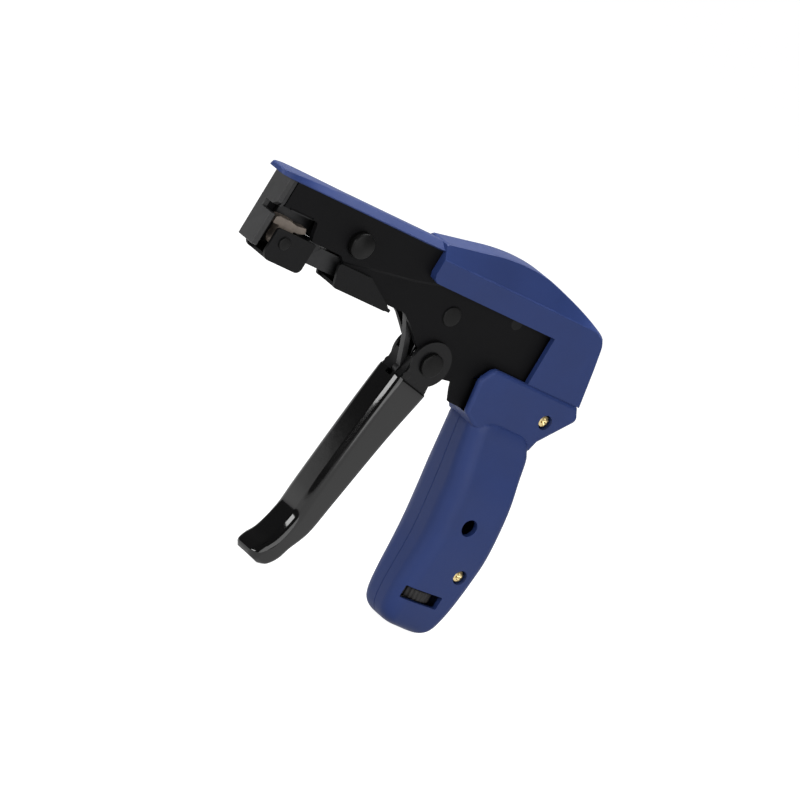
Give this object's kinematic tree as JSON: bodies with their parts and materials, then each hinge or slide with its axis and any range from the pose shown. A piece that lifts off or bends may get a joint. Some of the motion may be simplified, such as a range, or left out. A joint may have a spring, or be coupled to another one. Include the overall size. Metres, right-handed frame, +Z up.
{
  "type": "cable tie tensioning tool",
  "caption": "Pistol-shaped hand tool that pulls a cable tie tight through a slotted nose and cuts its tail, with a blue moulded cover and grip on a black steel frame.",
  "frame": {"origin": "on the front face of the nose plate, in the tool's middle plane, 6 mm below the middle of the tie slot", "axes": "+X from the nose to the grip along the barrel, +Y to the tool's right side, +Z up; the tie slot opens to the left, -Y"},
  "size_m": [0.1784, 0.0248, 0.1409],
  "materials": {
    "black_steel": "satin black paint over stamped steel",
    "nose_steel": "satin black finish on a hardened plate",
    "bare_steel": "machined, oiled",
    "tool_steel": "hardened, ground",
    "spring_steel": "drawn wire",
    "dip_coat": "glossy black dip coating",
    "black_plastic": "moulded, matte",
    "blue_plastic": "moulded, fine satin texture",
    "zinc_steel": "yellow zinc plating"
  },
  "bodies": {
    "frame": {"left_side_plate": "black_steel", "right_side_plate": "black_steel", "nose_plate": "nose_steel", "nose_rivets": "black_steel", "frame_rivets": "black_steel", "lower_guide": "black_steel", "cutter_pivot": "black_steel", "rocker_pin": "bare_steel", "trigger_pivot": "black_steel", "top_cover": "blue_plastic", "cover_pins": "bare_steel", "left_handle_shell": "blue_plastic", "right_handle_shell": "blue_plastic", "handle_screws": "zinc_steel", "tension_spring": "spring_steel"},
    "trigger": {"trigger_lever": "black_steel", "trigger_sleeve": "dip_coat", "link_pin": "bare_steel", "return_spring": "spring_steel"},
    "drive_link": {"drive_link": "bare_steel"},
    "carriage": {"gripper_carriage": "black_steel", "pull_bar": "bare_steel", "pawl_pin": "bare_steel", "bar_pin": "bare_steel", "pawl_spring": "spring_steel"},
    "pawl": {"gripper_pawl": "tool_steel"},
    "cutter_lever": {"cutter_lever": "bare_steel"},
    "cutter_blade": {"cutter_blade": "tool_steel"},
    "rocker": {"tension_rocker": "bare_steel"},
    "rod": {"tension_rod": "bare_steel"},
    "nut": {"tension_nut": "bare_steel", "spring_washer": "bare_steel"},
    "wheel": {"thumbwheel": "black_plastic", "tension_screw": "bare_steel"}
  },
  "joints": [
    {"name": "trigger_squeeze", "type": "hinge", "parent": "frame", "child": "trigger", "pos_m": [0.1012, 0, -0.0208], "axis": [0, -1, 0], "range_deg": [0, 32], "stiffness_Nm_per_rad": 0.4, "springref_deg": -28.65},
    {"name": "carriage_slide", "type": "slide", "parent": "frame", "child": "carriage", "axis": [1, 0, 0], "range_m": [0, 0.01145]},
    {"name": "link_swing", "type": "hinge", "parent": "trigger", "child": "drive_link", "pos_m": [0.094, 0, -0.028], "axis": [0, 1, 0], "range_deg": [0, 46.6]},
    {"name": "pawl_tilt", "type": "hinge", "parent": "carriage", "child": "pawl", "pos_m": [0.0119, 0, -0.0035], "axis": [0, -1, 0], "range_deg": [0, 8], "stiffness_Nm_per_rad": 0.02, "springref_deg": -17.19},
    {"name": "rocker_tip", "type": "hinge", "parent": "frame", "child": "rocker", "pos_m": [0.12799, 0, 0.006], "axis": [0, 1, 0], "range_deg": [0, 11.2], "stiffness_Nm_per_rad": 1, "springref_deg": -11.46},
    {"name": "cutter_swing", "type": "hinge", "parent": "frame", "child": "cutter_lever", "pos_m": [0.04338, 0, 0.0077], "axis": [0, -1, 0], "range_deg": [0, 4.55]},
    {"name": "blade_drop", "type": "slide", "parent": "frame", "child": "cutter_blade", "axis": [0, 0, -1], "range_m": [0, 0.0032]},
    {"name": "rod_slide", "type": "slide", "parent": "frame", "child": "rod", "axis": [0.061, 0, -0.9981], "range_m": [0, 0.0041], "deforming": ["tension_spring"]},
    {"name": "wheel_turn", "type": "hinge", "parent": "frame", "child": "wheel", "pos_m": [0.15379, 0, -0.09991], "axis": [-0.061, 0, 0.9981], "range_deg": [-1500, 1500]},
    {"name": "nut_travel", "type": "slide", "parent": "frame", "child": "nut", "axis": [-0.061, 0, 0.9981], "range_m": [-0.004, 0.004]}
  ],
  "couplings": [
    {"joint": "carriage_slide", "follows": "trigger_squeeze", "m_per_rad": 0.0204},
    {"joint": "link_swing", "follows": "trigger_squeeze", "ratio": 1.4507},
    {"joint": "cutter_swing", "follows": "rocker_tip", "ratio": 0.4018},
    {"joint": "blade_drop", "follows": "rocker_tip", "m_per_rad": 0.0161},
    {"joint": "rod_slide", "follows": "rocker_tip", "m_per_rad": 0.0206},
    {"joint": "wheel_turn", "follows": "nut_travel", "rad_per_m": 6283.2}
  ]
}
